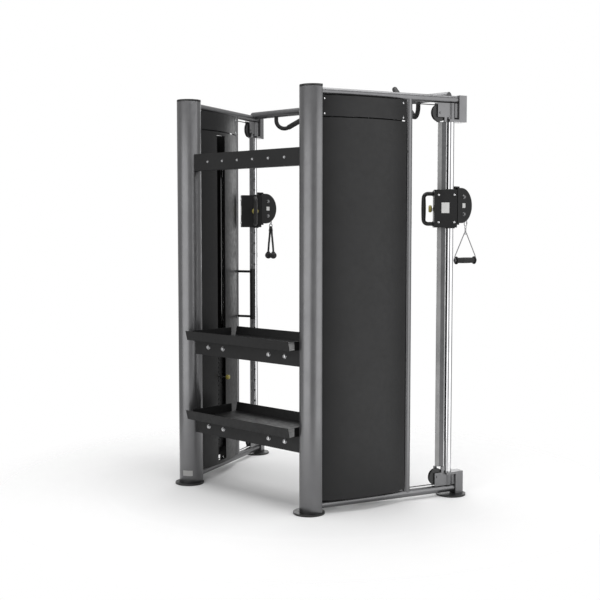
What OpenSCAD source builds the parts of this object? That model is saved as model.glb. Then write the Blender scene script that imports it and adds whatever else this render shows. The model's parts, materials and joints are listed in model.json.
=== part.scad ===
// Functional trainer: two splayed cable towers joined by a cross tube and a storage rack.
// Origin: centre of the footprint on the floor.  +Z up, +X to the right tower, -Y the user's side.
// Each tower is drawn once, in its own frame: X runs from the rear post to the front of the tower,
// Y points away from the middle of the machine, and the post's axis is the origin.

/* [Frame] */
// Height of the rear posts with their caps
post_top = 2100; // [2000:10:2200]
// Distance of each rear post's axis from the middle of the machine
post_x = 459; // [440:1:480]
// Angle by which each tower opens outwards, in degrees
splay = 20; // [18:1:22]
// Radius of the rear posts
post_r = 65.5; // [62:0.5:68]
// Distance from a post's axis to its flat side
post_flat = 23; // [20:1:26]
// Distance from a post's axis to the front upright
upright_s = 545; // [540:1:550]
// Distance from a post's axis to the chrome guide tube
column_s = 800; // [798:1:802]
// Height of the top rails' axis
top_z = 2071; // [2068:1:2074]
// Height of the base rails' axis
base_z = 36; // [36:1:37]

/* [Cable column] */
// Radius at which the cable runs on its pulleys
pulley_r = 40; // [38:1:40]
// Radius of the guide tube
tube_r = 20; // [19:0.5:20]
// Pitch of the index holes
hole_pitch = 65; // [60:1:65]
// Height of the carriage's locking pin
pin_z = 1509; // [1500:1:1520]
// Turn of the carriage about the guide tube, in degrees
carriage_turn = 30; // [25:1:35]

/* [Weight stack] */
// Distance from a post's axis to the middle of the stack
stack_s = 235; // [230:1:240]
// Weight plates in one stack
plates = 20; // [18:1:20]
// Plates that the selector pin lifts
lifted = 5; // [3:1:8]
// Pitch of the weight plates
plate_pitch = 26; // [25:0.5:26]

/* [Storage rack] */
// Half the length of the trays
tray_half = 385; // [370:1:386]
// Height of the trays' walls
tray_wall = 47; // [40:1:50]
// Underside of the upper tray
upper_tray_z = 806; // [780:1:840]
// Underside of the lower tray
lower_tray_z = 375; // [350:1:400]

/* [Hidden] */

$fn = 48;
left = -1;
right = 1;
sides = [left, right];

graphite = "#7c7d80";
charcoal = "#343434";
black = "#1c1c1c";
chrome = "#d8dadc";
yellow = "#a09632";
nylon = "#222222";

// Frame tubes
disc_h = 9;
rear_disc_r = 79;
foot_r = 78;
foot_s = 823;
cap_h = 10;
rail_r = 20;
upright_r = 19;
rail_top = base_z + rail_r;
rail_under = top_z - rail_r;

// Pull-up handles: a leg down from the cross tube, a bend, and a grip that rises towards the middle
cross_s = 790;
cross_z = 2088;
cross_r = 22;
leg_x = 530;
bend_r = 50;
bend_z = 2050;
grip_end = [190, -970, 2190];
handle_tube_r = 12;
handle_grip_r = 15;
cross_y = -cross_s*cos(splay);

// The footprint runs from the trays' outer lip to the ends of the pull-up grips
tray_back_y = 100;
front_y = grip_end[1] - handle_grip_r;
shift_y = -(tray_back_y + front_y)/2;

// Shrouds: shallow arcs from the post to the front upright
shroud_t = 3;
shroud_a = [24, 36];
shroud_b = [520, 22];
shroud_rise = 42;
shroud_low = 65;
shroud_gap = 1944;
header_low = 1950;
header_high = 2049;
slot_half = 45;
slot_low = 85;
slot_high = 1925;
chord = norm(shroud_b - shroud_a);
chord_angle = atan2(shroud_b[1] - shroud_a[1], shroud_b[0] - shroud_a[0]);
arc_r = (chord*chord/4 + shroud_rise*shroud_rise)/(2*shroud_rise);
arc_half = asin(chord/2/arc_r);
chord_mid = (shroud_a + shroud_b)/2;
arc_centre = chord_mid - (arc_r - shroud_rise)*[-sin(chord_angle), cos(chord_angle)];

// Pulleys and cable
cable_r = 2.5;
groove_gap = 0.3;
axle_r = 6;
run_gap = 0.05;
pulley_w = 16;
rim = 4;
corner_s = 728;
top_pulley_z = 2000;
bottom_pulley_z = 105;
cable_s = corner_s + pulley_r;
top_run_z = top_pulley_z + pulley_r;
base_run_z = bottom_pulley_z - pulley_r;
float_z = 775;
front_stack_s = stack_s + 2*pulley_r;
turn_r = 65;
rear_stack_s = stack_s - pulley_r - turn_r;
rear_run_s = rear_stack_s - turn_r;
rear_stack_z = 1890;
base_pulley_s = rear_run_s + pulley_r;

// Weight stack
plate_l = 290;
plate_w = 96;
plate_t = plate_pitch - 1;
stack_base = 160;
rod_s = 132;
guide_r = 9;
selector_r = 10;
resting = plates - lifted;
pinned_z = stack_base + resting*plate_pitch;
head_z = stack_base + plates*plate_pitch;
rod_top_z = 1790;

// Column, carriage and pulley housing
tube_low = 126;
tube_high = 1955;
first_hole = pin_z - 18*hole_pitch;
holes = 24;
guard_x = [-66, -23];
guard_y = [9, 30];
guard_low = 157;
guard_high = 1954;
box_x = [-85, 32];
box_y = [-38, 81];
box_h = 194;
box_wall = 5;
box_end = 15;
pivot_d = 55;
housing_z = 1527;
housing_r = 90;
housing_c = 31;
wheel_x = 49;
wheel_gap = 45;
hang_x = wheel_x + pulley_r;
swivel_clear = 24;
handle_out = 50;
lug_low = [housing_z - housing_r - 11, housing_z - housing_r - 1];
lug_high = [housing_z + housing_r + 1, housing_z + housing_r + 9];

// Accessories
hang_z = 1448;
bail_top = 1380;
grip_z = 1238;
grip_half = 60;
rope_ring_z = 1420;
ball_r = 21;
leg_r = 6.5;
leg_sides = 10;

// One rope leg's route below its housing, from the ring to the top of its ball: [x, y, z]
leg_route = [
    [0, 7, 1404], [0, 7, 1394], [0, 8, 1384], [0, 9, 1374], [0, 10, 1364], [0, 11, 1354],
    [0, 13, 1344], [0, 14, 1334], [0, 15, 1324], [0, 17, 1314], [0, 18, 1304], [0, 19, 1294],
    [0, 20, 1284], [0, 21, 1274], [0, 22, 1264], [0, 22, 1254]
];

// One tower's frame, placed for a side
module tower(side) {
    mirror([side < 0 ? 1 : 0, 0, 0])
        translate([post_x, shift_y, 0])
            rotate([0, 0, splay - 90])
                children();
}

// The carriage's frame: X leads away from the locking pin, Z is still the floor's
module at_column(side) {
    tower(side)
        translate([column_s, 0, 0])
            rotate([0, 0, carriage_turn])
                children();
}

// The pulley housing's frame: X points at the user, and the swivel axis is the origin
module at_housing(side) {
    tower(side)
        translate([column_s, 0, 0])
            rotate([0, 0, -splay])
                translate([pivot_d, 0, 0])
                    children();
}

// A round bar along +X from x0 to x1
module bar_x(x0, x1, r) {
    translate([x0, 0, 0]) rotate([0, 90, 0]) cylinder(h = x1 - x0, r = r);
}

// A round bar along +Y from y0 to y1
module bar_y(y0, y1, r) {
    translate([0, y0, 0]) rotate([-90, 0, 0]) cylinder(h = y1 - y0, r = r);
}

// A round bar from point p to point q
module bar(p, q, r) {
    d = q - p;
    translate(p)
        rotate([0, acos(d[2]/norm(d)), atan2(d[1], d[0])])
            cylinder(h = norm(d), r = r);
}

// A box given by its ranges
module box(x, y, z) {
    translate([x[0], y[0], z[0]]) cube([x[1] - x[0], y[1] - y[0], z[1] - z[0]]);
}

// A D-shaped outline: a circle cut off by the post's flat
module post_outline(r, flat) {
    intersection() {
        circle(r = r, $fn = 96);
        translate([-r, -r]) square([r + flat, 2*r]);
    }
}

module rear_post(side) {
    color(graphite) tower(side)
        translate([0, 0, disc_h]) linear_extrude(post_top - cap_h - disc_h)
            difference() {
                post_outline(post_r, post_flat);
                post_outline(post_r - 4, post_flat - 4);
            }
}

module post_caps() {
    color(black) for (side = sides) tower(side)
        translate([0, 0, post_top - cap_h]) linear_extrude(cap_h)
            post_outline(post_r, post_flat);
}

module base_discs() {
    color(black) for (side = sides) tower(side) {
        translate([-20, 0, 0]) cylinder(h = disc_h, r = rear_disc_r, $fn = 72);
        translate([foot_s, 0, 0]) cylinder(h = disc_h, r = foot_r, $fn = 72);
    }
}

module tower_rails() {
    color(graphite) for (side = sides) tower(side) {
        translate([0, 0, top_z]) bar_x(post_flat, 836, rail_r);
        translate([0, 0, base_z]) bar_x(post_flat, 836, rail_r);
    }
}

module front_uprights() {
    color(graphite) for (side = sides) tower(side) difference() {
        translate([upright_s, 0, base_z]) cylinder(h = top_z - base_z, r = upright_r);
        for (z = [base_z, top_z]) translate([0, 0, z])
            bar_x(upright_s - 40, upright_s + 40, rail_r);
        for (z = [base_run_z, top_run_z]) translate([0, 0, z])
            bar_x(upright_s - 40, upright_s + 40, cable_r + 3);
    }
}

module cross_tube() {
    half = post_x + cross_s*sin(splay);
    color(graphite) translate([0, shift_y, 0]) difference() {
        translate([0, cross_y, cross_z]) bar_x(-half, half, cross_r);
        for (m = [0, 1]) mirror([m, 0, 0])
            translate([post_x, 0, top_z]) rotate([0, 0, splay - 90])
                bar_x(cross_s - 80, cross_s + 80, rail_r);
    }
}

// One pull-up handle: leg, bend, and a padded grip with a round end
module pull_up_handle() {
    run = norm([grip_end[0] - leg_x, grip_end[1] - cross_y]);
    heading = atan2(grip_end[1] - cross_y, grip_end[0] - leg_x);
    rise = atan2(grip_end[2] - bend_z + bend_r + 6, run - bend_r);
    bent = [bend_r*(1 + sin(rise)), bend_z - bend_r*cos(rise)];
    translate([leg_x, cross_y, 0]) rotate([0, 0, heading]) {
        difference() {
            translate([0, 0, bend_z]) cylinder(h = cross_z - bend_z, r = handle_tube_r);
            translate([0, 0, cross_z]) rotate([0, 0, -heading]) bar_x(-40, 40, cross_r);
        }
        translate([bend_r, 0, bend_z]) rotate([90, 0, 0]) rotate([0, 0, 180])
            rotate_extrude(angle = 90 + rise) translate([bend_r, 0]) circle(r = handle_tube_r);
        translate([bent[0], 0, bent[1]]) rotate([0, -rise, 0])
            bar_x(0, norm([run - bent[0], grip_end[2] - bent[1]]), handle_grip_r);
    }
    translate(grip_end) sphere(r = handle_grip_r);
}

module pull_up_handles() {
    color(black) for (m = [0, 1]) mirror([m, 0, 0]) translate([0, shift_y, 0]) pull_up_handle();
}

module grab_handles() {
    reach = 113;
    color(black) for (side = sides) tower(side) translate([upright_s, 0, 0]) {
        translate([0, -reach, 869]) cylinder(h = 298, r = 15);
        for (z = [885, 1151]) difference() {
            translate([0, 0, z]) bar_y(-reach, 0, 7);
            cylinder(h = post_top, r = upright_r);
        }
    }
}

// A sheet bent to the shroud's arc, over a range of heights
module shroud_arc(z) {
    start = 90 + chord_angle - arc_half;
    translate([arc_centre[0], arc_centre[1], z[0]]) rotate([0, 0, start])
        rotate_extrude(angle = 2*arc_half, $fn = 360)
            translate([arc_r - shroud_t, 0]) square([shroud_t, z[1] - z[0]]);
}

module outer_shroud(side) {
    color(charcoal) tower(side) shroud_arc([shroud_low, shroud_gap]);
}

module inner_shroud(side) {
    color(charcoal) tower(side) mirror([0, 1, 0]) difference() {
        shroud_arc([shroud_low, shroud_gap]);
        box([stack_s - slot_half, stack_s + slot_half], [50, 100], [slot_low, slot_high]);
    }
}

module header_panels() {
    color(charcoal) for (side = sides) tower(side) for (m = [0, 1]) mirror([0, m, 0])
        shroud_arc([header_low, header_high]);
}

// A crossbar between the posts, from z, h high
module crossbar(z, h) {
    difference() {
        box([-400, 400], [-20, 20], [z, z + h]);
        for (x = [-post_x, post_x]) translate([x, 0, z - 1]) cylinder(h = h + 2, r = post_r, $fn = 96);
    }
}

// A gusset that carries a tray from its crossbar
module tray_gusset(x, z) {
    translate([x - 3, 0, z]) rotate([90, 0, 90]) linear_extrude(6)
        polygon([[-20, 0], [-250, 0], [-250, -14], [-20, -70]]);
}

rack_bar_z = 1716;
rack_bar_h = 89;
crossbar_h = 82;
gusset_x = 230;
peg_pitch = 114;
module rack_crossbars() {
    color(charcoal) translate([0, shift_y, 0]) {
        crossbar(rack_bar_z, rack_bar_h);
        for (i = [0 : 5]) translate([(i - 2.5)*peg_pitch, 0, rack_bar_z + rack_bar_h/2])
            bar_y(-90, -19, 8);
        for (z = [lower_tray_z, upper_tray_z]) {
            crossbar(z - crossbar_h, crossbar_h);
            for (x = [-gusset_x, gusset_x]) tray_gusset(x, z);
        }
    }
}

// A tray with a flared lip along both long sides and a notch at each corner
module tray(z) {
    t = 3;
    flare = 12;
    back = tray_back_y - flare;
    front = -270;
    lip_z = tray_wall + t;
    translate([0, 0, z]) {
        box([-tray_half, tray_half], [front, back], [0, t]);
        for (x = [-tray_half, tray_half - t]) box([x, x + t], [front + 35, back - 38], [0, tray_wall]);
        translate([-tray_half, 0, 0]) rotate([90, 0, 90]) linear_extrude(2*tray_half) {
            polygon([[back - t, 0], [back, 0], [tray_back_y, lip_z], [tray_back_y - t, lip_z]]);
            polygon([[front, 0], [front + t, 0], [front + t - flare, lip_z], [front - flare, lip_z]]);
        }
    }
}

module storage_trays() {
    color(black) translate([0, shift_y, 0]) for (z = [lower_tray_z, upper_tray_z]) tray(z);
}

module frame_bolts() {
    color(chrome) translate([0, shift_y, 0]) {
        for (z = [lower_tray_z, upper_tray_z], x = [-gusset_x, gusset_x], dx = [-58, 58])
            translate([x + dx, 0, z - 38]) bar_y(20, 25, 8);
        for (i = [0 : 5]) translate([(i - 2.5)*peg_pitch, 0, rack_bar_z + rack_bar_h/2])
            bar_y(20, 24, 5);
    }
    color(chrome) for (side = sides) tower(side)
        for (z = [1962, 2034], s = [42, 494], m = [0, 1]) mirror([0, m, 0])
            translate([s, shroud_o(s), z]) rotate(atan((shroud_o(s + 1) - shroud_o(s - 1))/2))
                bar_y(0.3, 3, 4);
}

// Offset of the shroud's outer face at a distance s from the post
function shroud_o(s) = arc_centre[1] + sqrt(arc_r*arc_r - pow(s - arc_centre[0], 2));

module weight_guide_rods() {
    color(chrome) for (side = sides, s = [-rod_s, rod_s]) tower(side)
        translate([stack_s + s, 0, stack_base]) cylinder(h = rod_top_z - stack_base, r = guide_r);
}

// A pair of plates that hold a fixed stack pulley's axle, coped over a rail
module pulley_hanger(s, axle_z, z) {
    for (o = [-14, 10]) difference() {
        box([s - 15, s + 15], [o, o + 4], z);
        for (rail_z = [base_z, top_z]) translate([0, 0, rail_z]) bar_x(s - 16, s + 16, rail_r);
    }
    pulley_axle(s, axle_z, 14);
}

// Base and top plates of both stacks, their legs, and the hangers of the fixed stack pulleys
module stack_supports() {
    t = 10;
    cope = 10;
    hole_r = 8;
    color(charcoal) for (side = sides) tower(side) {
        box([stack_s - 150, stack_s + 150], [-45, 45], [stack_base - t, stack_base]);
        for (s = [stack_s - 70, stack_s + 140]) difference() {
            box([s, s + 8], [-rail_r, rail_r], [rail_top - cope, stack_base - t]);
            translate([0, 0, base_z]) bar_x(s - 1, s + 9, rail_r);
            translate([0, 0, base_run_z]) bar_x(s - 1, s + 9, cable_r + 3);
        }
        difference() {
            union() {
                box([post_flat, 90], [-25, 25], [rod_top_z, rod_top_z + t]);
                box([90, 420], [-45, 45], [rod_top_z, rod_top_z + t]);
                box([420, upright_s - 10], [-17, 17], [rod_top_z, rod_top_z + t]);
            }
            for (s = [rear_run_s, stack_s - pulley_r, stack_s + pulley_r])
                translate([s, 0, rod_top_z - 1]) cylinder(h = t + 2, r = hole_r);
            translate([upright_s, 0, rod_top_z - 1]) cylinder(h = t + 2, r = upright_r);
        }
        pulley_hanger(rear_stack_s, rear_stack_z, [rear_stack_z - 12, rail_under + cope]);
        pulley_hanger(front_stack_s, top_pulley_z, [top_pulley_z - 12, rail_under + cope]);
        pulley_hanger(base_pulley_s, bottom_pulley_z, [rail_top - cope, bottom_pulley_z + 12]);
    }
}

// A fixed axle across the tower, half long each way
module pulley_axle(s, z, half) {
    translate([s, 0, z]) bar_y(-half, half, axle_r);
}

// A grooved pulley on an axle across the tower
module pulley(r) {
    w = pulley_w/2;
    g = 3.2;
    floor_r = r - cable_r - groove_gap;
    rotate([90, 0, 0]) rotate_extrude($fn = 72) polygon([
        [axle_r + run_gap, -w], [r + rim, -w], [r + rim, -g], [floor_r, -g],
        [floor_r, g], [r + rim, g], [r + rim, w], [axle_r + run_gap, w]
    ]);
}

module tower_pulley(side, s, z, r) {
    color(nylon) tower(side) translate([s, 0, z]) pulley(r);
}

module plate_cut(z, h) {
    translate([stack_s, 0, z - 1]) cylinder(h = h + 2, r = selector_r + 2);
    for (s = [-rod_s, rod_s]) translate([stack_s + s, 0, z - 1]) cylinder(h = h + 2, r = guide_r + 1);
}

module weight_plate(z) {
    difference() {
        box([stack_s - plate_l/2, stack_s + plate_l/2], [-plate_w/2, plate_w/2], [z, z + plate_t]);
        plate_cut(z, plate_t);
        translate([stack_s, 0, z + plate_t/2]) bar_y(-plate_w, 0, 5);
    }
}

module resting_plates() {
    color(black) for (side = sides) tower(side)
        for (i = [0 : resting - 1]) weight_plate(stack_base + i*plate_pitch);
}

// Pinned plates, head plate, selector rod and the yoke of the floating pulley
module lifted_plates(side) {
    color(black) tower(side) {
        for (i = [resting : plates - 1]) weight_plate(stack_base + i*plate_pitch);
        difference() {
            box([stack_s - plate_l/2, stack_s + plate_l/2], [-plate_w/2, plate_w/2], [head_z, head_z + 20]);
            for (s = [-rod_s, rod_s]) translate([stack_s + s, 0, head_z - 1])
                cylinder(h = 30, r = guide_r + 1);
        }
        difference() {
            translate([stack_s, 0, stack_base + 5]) cylinder(h = head_z - stack_base - 5, r = selector_r);
            translate([stack_s, 0, pinned_z + plate_t/2]) bar_y(-selector_r - 5, 0, 4.5);
        }
        for (o = [-16, 10]) box([stack_s - 15, stack_s + 15], [o, o + 6], [head_z + 20, float_z + 15]);
        pulley_axle(stack_s, float_z, 10);
    }
}

module selector_pin(side) {
    color(yellow) tower(side) translate([stack_s, 0, pinned_z + plate_t/2]) {
        bar_y(-100, -2, 4);
        bar_y(-118, -100, 13);
    }
}

// Quarter or half turn of cable about (s, z), starting at an angle from +X towards +Z
module cable_turn(s, z, r, start, sweep) {
    translate([s, 0, z]) rotate([90, 0, 0]) rotate([0, 0, start])
        rotate_extrude(angle = sweep, $fn = 72) translate([r, 0]) circle(r = cable_r, $fn = 16);
}

module cable_drop(s, low, high) {
    translate([s, 0, low]) cylinder(h = high - low, r = cable_r, $fn = 16);
}

module frame_cable(side) {
    color(black) tower(side) {
        cable_drop(cable_s, bottom_pulley_z, top_pulley_z);
        cable_turn(corner_s, top_pulley_z, pulley_r, 0, 90);
        translate([0, 0, top_run_z]) bar_x(front_stack_s, corner_s, cable_r);
        cable_turn(front_stack_s, top_pulley_z, pulley_r, 90, 90);
        cable_turn(corner_s, bottom_pulley_z, pulley_r, 270, 90);
        translate([0, 0, base_run_z]) bar_x(base_pulley_s, corner_s, cable_r);
        cable_turn(base_pulley_s, bottom_pulley_z, pulley_r, 180, 90);
        cable_drop(rear_run_s, bottom_pulley_z, rear_stack_z);
        cable_turn(rear_stack_s, rear_stack_z, turn_r, 0, 180);
    }
}

module lift_cable(side) {
    color(black) tower(side) {
        cable_drop(stack_s + pulley_r, float_z, top_pulley_z);
        cable_drop(stack_s - pulley_r, float_z, rear_stack_z);
        cable_turn(stack_s, float_z, pulley_r, 180, 180);
    }
}

// One end bracket of a column: front box, socket plate and collar, cheeks, axle, and the two tabs
// that hold the guard.  outer and inner are the heights of its ends.
module column_bracket(outer, inner, axle_z, tab) {
    lo = min(outer, inner);
    hi = max(outer, inner);
    plate = inner > outer ? [inner - 12, inner] : [inner, inner + 12];
    cheek = inner > outer ? [rail_top + 0.5, inner] : [inner + 23, rail_under - 0.5];
    box([836, 882], [-27, 27], [lo, hi]);
    box([776, 836], [-30, 30], plate);
    for (o = [-16, 12]) box([712, 836], [o, o + 4], cheek);
    translate([corner_s, 0, axle_z]) bar_y(-20, 20, axle_r);
    foot = min(cheek[0], inner);
    translate([column_s, 0, foot]) cylinder(h = cheek[1] - foot, r = 24);
    box([752, 768], [8.5, 16], tab);
    box([728, 742], [-24, -12], tab);
}

module column_brackets() {
    color(graphite) for (side = sides) tower(side) {
        column_bracket(2092, tube_high, top_pulley_z, [guard_high, guard_high + 30]);
        column_bracket(disc_h, tube_low, bottom_pulley_z, [guard_low - 40, guard_low]);
    }
}

module guide_tube(side) {
    color(chrome) at_column(side) difference() {
        translate([0, 0, tube_low]) cylinder(h = tube_high - tube_low, r = tube_r, $fn = 72);
        translate([0, 0, tube_low - 1]) cylinder(h = tube_high - tube_low + 2, r = tube_r - 3);
        for (i = [0 : holes - 1]) translate([0, 0, first_hole + i*hole_pitch]) bar_x(-tube_r - 5, 0, 6);
    }
}

module cable_guards() {
    t = 3;
    color(charcoal) for (side = sides) at_column(side) difference() {
        box(guard_x, guard_y, [guard_low, guard_high]);
        box([guard_x[0] + t, guard_x[1] + 1], [guard_y[0] + t, guard_y[1] - t],
            [guard_low - 1, guard_high + 1]);
        for (i = [0 : holes - 1])
            translate([0, (guard_y[0] + guard_y[1])/2, first_hole + i*hole_pitch])
                bar_x(guard_x[0] - 1, guard_x[0] + t + 1, 4.5);
    }
}

// Hollow sliding block with a bore for the guide tube, a slot for the guard with its cable,
// and the two lugs that the pulley housing turns between
module carriage(side) {
    z = [pin_z - box_h/2, pin_z + box_h/2];
    cut = [z[0] - 1, z[1] + 1];
    clear = 1.5;
    lug_x = [-31, 12];
    lug_y = [-14, 14];
    color(black) at_column(side) difference() {
        union() {
            difference() {
                box(box_x, box_y, z);
                difference() {
                    box([box_x[0] + box_wall, box_x[1] - box_wall],
                        [box_y[0] + box_wall, box_y[1] - box_wall], [z[0] + box_end, z[1] - box_end]);
                    swivel_post(z[0], box_h, swivel_clear + box_wall);
                }
                swivel_post(lug_low[1] - 2, box_h, swivel_clear);
            }
            rotate([0, 0, -splay - carriage_turn]) translate([pivot_d, 0, 0]) {
                box([lug_x[0], lug_x[0] + 5], lug_y, [z[1] - 9, lug_high[1]]);
                for (lug = [lug_low, lug_high]) box(lug_x, lug_y, lug);
            }
        }
        translate([0, 0, cut[0]]) cylinder(h = box_h + 2, r = tube_r + run_gap, $fn = 72);
        box([guard_x[0] - clear, guard_x[1] + clear], [guard_y[0] - clear, guard_y[1] + clear], cut);
        translate([0, 0, pin_z]) bar_x(box_x[0] - 1, 0, 6 + run_gap);
        swivel_post(z[0] - 1, 2*box_h, axle_r + run_gap);
    }
}

// A cylinder about the housing's swivel axis, drawn in the carriage's frame
module swivel_post(z, h, r) {
    rotate([0, 0, -splay - carriage_turn]) translate([pivot_d, 0, z]) cylinder(h = h, r = r);
}

module carriage_handle(side) {
    color(black) at_column(side) translate([box_x[0], 0, 0]) {
        for (z = [pin_z - 78, pin_z + 78]) translate([0, 0, z]) bar_x(-handle_out, 0, 9);
        translate([-handle_out, 0, pin_z - 87]) cylinder(h = 174, r = 11.5);
    }
}

module pull_pin(side) {
    color(yellow) at_column(side) translate([0, 0, pin_z]) {
        bar_x(-94, -tube_r - 0.3, 6);
        bar_x(-110, -93, 17);
    }
}

// Two cheek plates with a back, two fixed axles, and the stub pins that it swivels on
module pulley_housing(side) {
    low = housing_z - housing_r;
    high = housing_z + housing_r;
    cap = 8;
    color(charcoal) at_housing(side) {
        for (y = [-12, 17]) translate([0, y, 0]) rotate([90, 0, 0]) linear_extrude(5)
            union() {
                intersection() {
                    translate([housing_c, housing_z]) circle(r = housing_r, $fn = 96);
                    translate([housing_c, low]) square([housing_r, 2*housing_r]);
                }
                translate([-6, low]) square([housing_c + 6, 2*housing_r]);
            }
        for (z = [low, high - cap]) box([-6, 4], [-12, 12], [z, z + cap]);
        for (z = [low, housing_z + 5]) box([-6, 0], [-12, 12], [z, z + housing_r - 5]);
        translate([0, 0, lug_low[0]]) cylinder(h = low + cap/2 - lug_low[0], r = axle_r);
        translate([0, 0, high - cap/2]) cylinder(h = lug_high[1] - high + cap/2, r = axle_r);
        for (z = [-wheel_gap, wheel_gap]) translate([wheel_x, 0, housing_z + z])
            bar_y(-21, 21, axle_r);
    }
}

module housing_pulley(side, z) {
    color(nylon) at_housing(side) translate([wheel_x, 0, housing_z + z]) pulley(pulley_r);
}

// The frame of what hangs from a pulley housing, turned in line with the tower for the stirrup
module at_hang(side, turn) {
    at_housing(side) translate([hang_x, 0, 0]) rotate([0, 0, turn]) children();
}

module stirrup_bail() {
    color(chrome) at_hang(left, splay) {
        translate([0, 0, bail_top]) cylinder(h = hang_z - bail_top, r = 5);
        for (m = [0, 1]) mirror([m, 0, 0])
            union() {
                bar([0, 0, bail_top + 4], [grip_half + 6, 0, grip_z + 24], 2.5);
                translate([grip_half + 6, 0, grip_z]) cylinder(h = 24, r = 2.5);
                translate([grip_half + 6, 0, grip_z + 24]) sphere(r = 2.5);
            }
        translate([0, 0, grip_z]) bar_x(-grip_half - 8, grip_half + 8, 4);
    }
}

module stirrup_grip() {
    color(black) at_hang(left, splay) translate([0, 0, grip_z]) difference() {
        union() {
            bar_x(-grip_half, grip_half, 15);
            for (x = [-grip_half, grip_half - 6]) bar_x(x, x + 6, 21);
        }
        bar_x(-grip_half - 1, grip_half + 1, 4 + run_gap);
    }
}

// Ring and shackle, and the two balls under the rope's legs
module rope_fittings() {
    ring_r = 12.5;
    end = leg_route[len(leg_route) - 1];
    color(chrome) at_hang(right, 0) {
        translate([0, 0, rope_ring_z + ring_r]) cylinder(h = hang_z - rope_ring_z - ring_r, r = 5);
        translate([0, 0, rope_ring_z]) rotate([0, 0, 90]) rotate([90, 0, 0])
            rotate_extrude() translate([ring_r, 0]) circle(r = 2.5);
        for (m = [0, 1]) mirror([0, m, 0]) difference() {
            translate([0, end[1], end[2] - ball_r + 3]) sphere(r = ball_r);
            translate([0, end[1], end[2]]) cylinder(h = ball_r, r = ball_r);
        }
    }
}

function heading(p, i) =
    let (d = p[min(i + 1, len(p) - 1)] - p[max(i - 1, 0)]) d/norm(d);

// A round tube swept along a route that stays in a plane of constant X
module swept_tube(p, r, n) {
    last = len(p) - 1;
    points = [
        for (i = [0 : last], k = [0 : n - 1])
            p[i] + r*cos(360*k/n)*[1, 0, 0] + r*sin(360*k/n)*cross(heading(p, i), [1, 0, 0])
    ];
    walls = [
        for (i = [0 : last - 1], k = [0 : n - 1])
            [i*n + k, (i + 1)*n + k, (i + 1)*n + (k + 1)%n, i*n + (k + 1)%n]
    ];
    ends = [[for (k = [0 : n - 1]) k], [for (k = [0 : n - 1]) last*n + n - 1 - k]];
    polyhedron(points, concat(walls, ends));
}

module rope_legs() {
    color(black) at_hang(right, 0) for (m = [0, 1]) mirror([0, m, 0])
        swept_tube(leg_route, leg_r, leg_sides);
}

rear_post(left);  // left_rear_post
rear_post(right);  // right_rear_post
post_caps();
base_discs();
tower_rails();
front_uprights();
cross_tube();
pull_up_handles();
grab_handles();
outer_shroud(left);  // left_outer_shroud
outer_shroud(right);  // right_outer_shroud
inner_shroud(left);  // left_inner_shroud
inner_shroud(right);  // right_inner_shroud
header_panels();
rack_crossbars();
storage_trays();
frame_bolts();
weight_guide_rods();
stack_supports();
resting_plates();
lifted_plates(left);  // left_lifted_plates
lifted_plates(right);  // right_lifted_plates
selector_pin(left);  // left_selector_pin
selector_pin(right);  // right_selector_pin
tower_pulley(left, stack_s, float_z, pulley_r);  // left_float_pulley
tower_pulley(right, stack_s, float_z, pulley_r);  // right_float_pulley
tower_pulley(left, front_stack_s, top_pulley_z, pulley_r);  // left_front_stack_pulley
tower_pulley(right, front_stack_s, top_pulley_z, pulley_r);  // right_front_stack_pulley
tower_pulley(left, rear_stack_s, rear_stack_z, turn_r);  // left_rear_stack_pulley
tower_pulley(right, rear_stack_s, rear_stack_z, turn_r);  // right_rear_stack_pulley
tower_pulley(left, base_pulley_s, bottom_pulley_z, pulley_r);  // left_base_pulley
tower_pulley(right, base_pulley_s, bottom_pulley_z, pulley_r);  // right_base_pulley
tower_pulley(left, corner_s, top_pulley_z, pulley_r);  // left_top_pulley
tower_pulley(right, corner_s, top_pulley_z, pulley_r);  // right_top_pulley
tower_pulley(left, corner_s, bottom_pulley_z, pulley_r);  // left_bottom_pulley
tower_pulley(right, corner_s, bottom_pulley_z, pulley_r);  // right_bottom_pulley
column_brackets();
guide_tube(left);  // left_guide_tube
guide_tube(right);  // right_guide_tube
cable_guards();
frame_cable(left);  // left_frame_cable
frame_cable(right);  // right_frame_cable
lift_cable(left);  // left_lift_cable
lift_cable(right);  // right_lift_cable
carriage(left);  // left_carriage
carriage(right);  // right_carriage
carriage_handle(left);  // left_carriage_handle
carriage_handle(right);  // right_carriage_handle
pull_pin(left);  // left_pull_pin
pull_pin(right);  // right_pull_pin
pulley_housing(left);  // left_pulley_housing
pulley_housing(right);  // right_pulley_housing
housing_pulley(left, wheel_gap);  // left_upper_housing_pulley
housing_pulley(right, wheel_gap);  // right_upper_housing_pulley
housing_pulley(left, -wheel_gap);  // left_lower_housing_pulley
housing_pulley(right, -wheel_gap);  // right_lower_housing_pulley
stirrup_bail();
stirrup_grip();
rope_fittings();
rope_legs();
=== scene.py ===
"""Functional trainer: two splayed cable towers, a storage rack and hanging handles."""
import json
import math

import bmesh
import bpy
from mathutils import Matrix, Vector


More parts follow.
